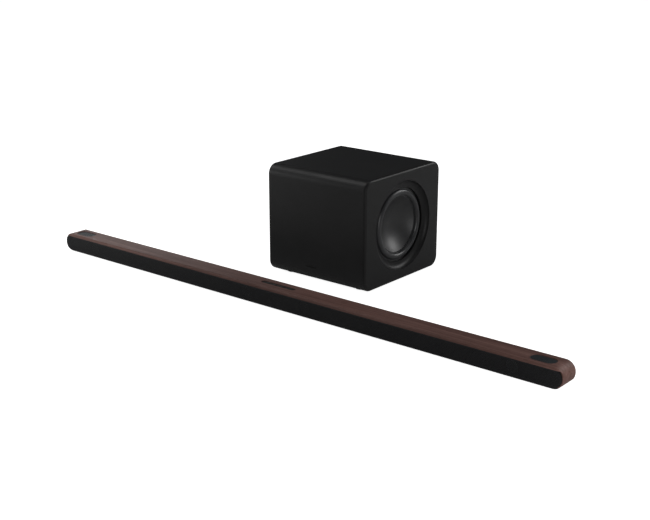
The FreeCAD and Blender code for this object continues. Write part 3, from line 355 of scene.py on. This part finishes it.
def perforated(outline, holes_inside, pitch, hole_radius, thickness, corners):
    """A perforated sheet in the plane, with its face at 0 and its back at -thickness.

    The sheet is tiled by hexagons. Each hexagon inside holes_inside gets a hole with that many corners.
    """
    points, faces = [], []
    xs, ys = [p[0] for p in outline], [p[1] for p in outline]
    side = pitch / math.sqrt(3)
    row_step = 1.5 * side
    per_edge = corners // 6
    around = [math.radians(30 + 60 * i) for i in range(7)]
    hexagon = []
    for a, b in zip(around, around[1:]):
        for k in range(per_edge):
            t = k / per_edge
            hexagon.append((side * (math.cos(a) * (1 - t) + math.cos(b) * t),
                            side * (math.sin(a) * (1 - t) + math.sin(b) * t)))
    circle = [(hole_radius * math.cos(math.radians(30 + 360 * i / corners)),
               hole_radius * math.sin(math.radians(30 + 360 * i / corners))) for i in range(corners)]

    def add(loop, height):
        start = len(points)
        points.extend([(x, y, height) for x, y in loop])
        return list(range(start, start + len(loop)))

    rows = int((max(ys) - min(ys)) / row_step) + 3
    columns = int((max(xs) - min(xs)) / pitch) + 3
    middle_x, middle_y = (max(xs) + min(xs)) / 2, (max(ys) + min(ys)) / 2
    for row in range(-(rows // 2), rows // 2 + 1):
        for column in range(-(columns // 2) - 1, columns // 2 + 1):
            cx = middle_x + (column + (row % 2) / 2) * pitch
            cy = middle_y + row * row_step
            cell = [(cx + x, cy + y) for x, y in hexagon]
            if all(inside(p, holes_inside) for p in cell):
                ring = [(cx + x, cy + y) for x, y in circle]
                front_cell, front_hole = add(cell, 0.0), add(ring, 0.0)
                back_cell, back_hole = add(cell, -thickness), add(ring, -thickness)
                for i in range(corners):
                    j = (i + 1) % corners
                    faces.append((front_cell[i], front_cell[j], front_hole[j], front_hole[i]))
                    faces.append((front_hole[i], front_hole[j], back_hole[j], back_hole[i]))
                    faces.append((back_hole[i], back_hole[j], back_cell[j], back_cell[i]))
            else:
                cell = clip(cell, outline)
                if cell:
                    faces.append(tuple(add(cell, 0.0)))
                    faces.append(tuple(reversed(add(cell, -thickness))))
    return points, faces


def strip_between(points, faces, loops):
    """Joins loops of equal length one after another with quads."""
    starts = []
    for loop in loops:
        starts.append(len(points))
        points.extend(loop)
    count = len(loops[0])
    for a, b in zip(starts, starts[1:]):
        for i in range(count):
            j = (i + 1) % count
            faces.append((a + i, a + j, b + j, b + i))


# ---- the bar ----------------------------------------------------------------------------------------------
def trimmed(outline, top):
    """The outline with everything above top cut off."""
    return clip(outline, [(-BEYOND, -BEYOND), (BEYOND, -BEYOND), (BEYOND, top), (-BEYOND, top)])


def front_grille():
    """Perforated flat sheet in the bar's front outline, cut off at the height of the CAD grille."""
    (x0, y0, z0), (x1, _, z1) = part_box("front_grille")
    width, height = x1 - x0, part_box("bar_skin")[1].z - z0
    middle_z = z0 + height / 2
    top = z1 - middle_z

    def outline(inset, cut):
        radius = BAR_END_RADIUS - inset
        full = rounded_outline(width - 2 * inset, height - 2 * inset, radius, FRONT_CORNER_STEPS)
        return trimmed(full, cut)

    holes = outline(FRONT_SHEET_INSET + FRONT_HOLE_MARGIN, top - FRONT_HOLE_MARGIN)
    points, faces = perforated(outline(FRONT_SHEET_INSET, top), holes, FRONT_HOLE_PITCH,
                               FRONT_HOLE_RADIUS, GRILLE_SHEET, FRONT_HOLE_CORNERS)
    placed = [(x0 + width / 2 + x, y0 - z, middle_z + y) for x, y, z in points]
    mesh = mesh_from("front_grille_sheet", placed, faces, GRILLE_CREASE)
    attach(add_piece(mesh, "black_mesh", "front_grille"), "bar")


def oval_grille(node, name):
    """Oval insert with round holes and a softened edge."""
    (x0, y0, z0), (x1, y1, z1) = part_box(node)
    length, width = x1 - x0 - 2 * OVAL_FLANGE, y1 - y0 - 2 * OVAL_FLANGE
    middle_x, middle_y = (x0 + x1) / 2, (y0 + y1) / 2

    def outline(inset):
        radius = width / 2 - inset - OVAL_STRAIGHT
        return rounded_outline(length - 2 * inset, width - 2 * inset, radius, OVAL_CORNER_STEPS)

    holes = outline(OVAL_EDGE + OVAL_HOLE_MARGIN)
    points, faces = perforated(outline(OVAL_EDGE), holes, OVAL_HOLE_PITCH, OVAL_HOLE_RADIUS,
                               GRILLE_SHEET, OVAL_HOLE_CORNERS)
    loops = [[(x, y, -(OVAL_EDGE - b)) for x, y in outline(OVAL_EDGE - a)]
             for a, b in arc((0, 0), OVAL_EDGE, 90, 0, OVAL_EDGE_STEPS)]
    loops += [[(x, y, z0 - z1) for x, y in outline(inset)] for inset in (0, -OVAL_FLANGE)]
    strip_between(points, faces, loops)
    placed = [(middle_x + x, middle_y + y, z1 + z) for x, y, z in points]
    mesh = mesh_from(name, placed, faces, GRILLE_CREASE)
    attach(add_piece(mesh, "grey_mesh", node), "bar")


# ---- surrounds --------------------------------------------------------------------------------------------
def ring_profile(cone, roll, rubber):
    """Section of a half-roll surround with a flat lip on each side, as points of radius and height."""
    inner_lip, middle, outer_lip = cone - roll / 2, cone + roll, cone + 2.5 * roll
    over = roll + rubber
    lift = math.degrees(math.asin(rubber / over))
    below = [(inner_lip, 0)] + arc((middle, 0), roll, 180, 0, ROLL_STEPS) + [(outer_lip, 0)]
    above = arc((middle, 0), over, lift, 180 - lift, 2 * ROLL_STEPS)
    return below + [(outer_lip, rubber)] + above + [(inner_lip, rubber)]


def swept(profile, start, end, steps):
    """Sweeps the profile round the Z axis, from one angle to another in radians."""
    points, faces = [], []
    count = len(profile)
    for step in range(steps + 1):
        a = start + (end - start) * step / steps
        points += [Vector((r * math.cos(a), r * math.sin(a), z)) for r, z in profile]
    for here in range(0, steps * count, count):
        for i in range(count):
            j = (i + 1) % count
            faces.append((here + i, here + j, here + count + j, here + count + i))
    return points, faces


def flexible_ring(node, axis, sizes, cuts):
    """Half-roll surround in sectors, seated in place of the CAD surround."""
    cone, roll, rubber = sizes
    sectors, steps = cuts
    low, high = (Vector(corner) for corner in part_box(node))
    axis = Vector(axis)
    seat = (low + high) / 2 - axis * (abs((high - low).dot(axis)) / 2)
    turn = Vector((0, 0, 1)).rotation_difference(axis).to_matrix()
    profile = ring_profile(cone, roll, rubber)
    half = math.pi / sectors
    for sector in range(sectors):
        heading = 2 * half * sector
        points, faces = swept(profile, heading - half, heading + half, steps)
        placed = [seat + turn @ point for point in points]
        mesh = mesh_from(f"{node}_sector_{sector + 1}", placed, faces, RING_CREASE)
        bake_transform(add_piece(mesh, "surround_rubber", node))


# ---- stage, light and camera ------------------------------------------------------------------------------
def make_world():
    """Weak even light, and plain white behind the object for the camera."""
    world = bpy.data.worlds.new("studio")
    bpy.context.scene.world = world
    world.use_nodes = True
    tree = world.node_tree
    lit = tree.nodes["Background"]
    lit.inputs["Color"].default_value = (*WORLD_COLOUR, 1.0)
    lit.inputs["Strength"].default_value = WORLD_LIGHT
    white = tree.nodes.new("ShaderNodeBackground")
    white.inputs["Color"].default_value = (1.0, 1.0, 1.0, 1.0)
    path = tree.nodes.new("ShaderNodeLightPath")
    seen = tree.nodes.new("ShaderNodeMath")
    seen.operation = "MAXIMUM"
    mix = tree.nodes.new("ShaderNodeMixShader")
    tree.links.new(path.outputs["Is Camera Ray"], seen.inputs[0])
    tree.links.new(path.outputs["Is Transmission Ray"], seen.inputs[1])
    tree.links.new(seen.outputs[0], mix.inputs["Fac"])
    tree.links.new(lit.outputs[0], mix.inputs[1])
    tree.links.new(white.outputs[0], mix.inputs[2])
    tree.links.new(mix.outputs[0], tree.nodes["World Output"].inputs["Surface"])


def floor_material():
    """Matt and pale, with a glow for the camera that rises away from the middle, so a faint shadow stays."""
    material = bpy.data.materials.new("floor")
    material.use_nodes = True
    tree = material.node_tree
    tree.nodes.remove(tree.nodes["Principled BSDF"])
    place = tree.nodes.new("ShaderNodeTexCoord")
    length = tree.nodes.new("ShaderNodeVectorMath")
    length.operation = "LENGTH"
    fade = tree.nodes.new("ShaderNodeMapRange")
    fade.inputs["From Min"].default_value, fade.inputs["From Max"].default_value = FLOOR_GLOW_REACH
    fade.inputs["To Min"].default_value, fade.inputs["To Max"].default_value = FLOOR_GLOW
    glow = tree.nodes.new("ShaderNodeEmission")
    diffuse = tree.nodes.new("ShaderNodeBsdfDiffuse")
    diffuse.inputs["Color"].default_value = (*FLOOR_COLOUR, 1.0)
    both = tree.nodes.new("ShaderNodeAddShader")
    path = tree.nodes.new("ShaderNodeLightPath")
    mix = tree.nodes.new("ShaderNodeMixShader")
    tree.links.new(place.outputs["Object"], length.inputs[0])
    tree.links.new(length.outputs["Value"], fade.inputs["Value"])
    tree.links.new(fade.outputs["Result"], glow.inputs["Strength"])
    tree.links.new(diffuse.outputs[0], both.inputs[0])
    tree.links.new(glow.outputs[0], both.inputs[1])
    tree.links.new(path.outputs["Is Camera Ray"], mix.inputs["Fac"])
    tree.links.new(diffuse.outputs[0], mix.inputs[1])
    tree.links.new(both.outputs[0], mix.inputs[2])
    tree.links.new(mix.outputs[0], tree.nodes["Material Output"].inputs["Surface"])
    return material


def make_floor():
    mesh = bpy.data.meshes.new("floor")
    corners = [(x * FLOOR_HALF, y * FLOOR_HALF, 0) for x, y in ((-1, -1), (1, -1), (1, 1), (-1, 1))]
    mesh.from_pydata(corners, [], [(0, 1, 2, 3)])
    mesh.materials.append(floor_material())
    floor = bpy.data.objects.new("floor", mesh)
    floor.location.z = -FLOOR_DROP
    bpy.context.scene.collection.objects.link(floor)


def add_light(name, place, target, size, watts):
    """A square-cornered area light that the camera doesn't see."""
    light = bpy.data.lights.new(name, "AREA")
    light.shape = "RECTANGLE"
    light.size, light.size_y = size
    light.energy = watts
    lamp = bpy.data.objects.new(name, light)
    lamp.location = place
    lamp.rotation_euler = (Vector(target) - Vector(place)).to_track_quat("-Z", "Y").to_euler()
    lamp.visible_camera = False
    bpy.context.scene.collection.objects.link(lamp)


def make_camera():
    camera = bpy.data.cameras.new("camera")
    camera.sensor_width = CAMERA_SENSOR
    camera.lens = CAMERA_LENS
    seat = bpy.data.objects.new("camera", camera)
    seat.location = CAMERA_PLACE
    seat.rotation_euler = Vector(CAMERA_DIRECTION).to_track_quat("-Z", "Y").to_euler()
    bpy.context.scene.collection.objects.link(seat)
    bpy.context.scene.camera = seat


# ---- the scene --------------------------------------------------------------------------------------------
MATERIALS = make_materials()
for entry in frame["record"]["subparts"]:
    cad_piece = NODES[entry["node"]]
    cad_piece.data.materials.clear()
    cad_piece.data.materials.append(MATERIALS[entry["material_slot"]])

front_grille()
for end in ("left", "right"):
    oval_grille(f"up_grille_{end}", f"up_grille_sheet_{end}")

flexible_ring("woofer_surround", (1, 0, 0), WOOFER_RING, WOOFER_CUTS)
for spot in ("outer_left", "centre_left", "centre_right", "outer_right"):
    flexible_ring(f"mid_surround_{spot}", (0, -1, 0), SMALL_RING, SMALL_CUTS)
for end in ("left", "right"):
    flexible_ring(f"up_surround_{end}", (0, 0, 1), SMALL_RING, SMALL_CUTS)

make_world()
make_floor()
for name, settings in LIGHTS.items():
    add_light(name, *settings)
make_camera()

bpy.context.scene.view_settings.view_transform = "Standard"
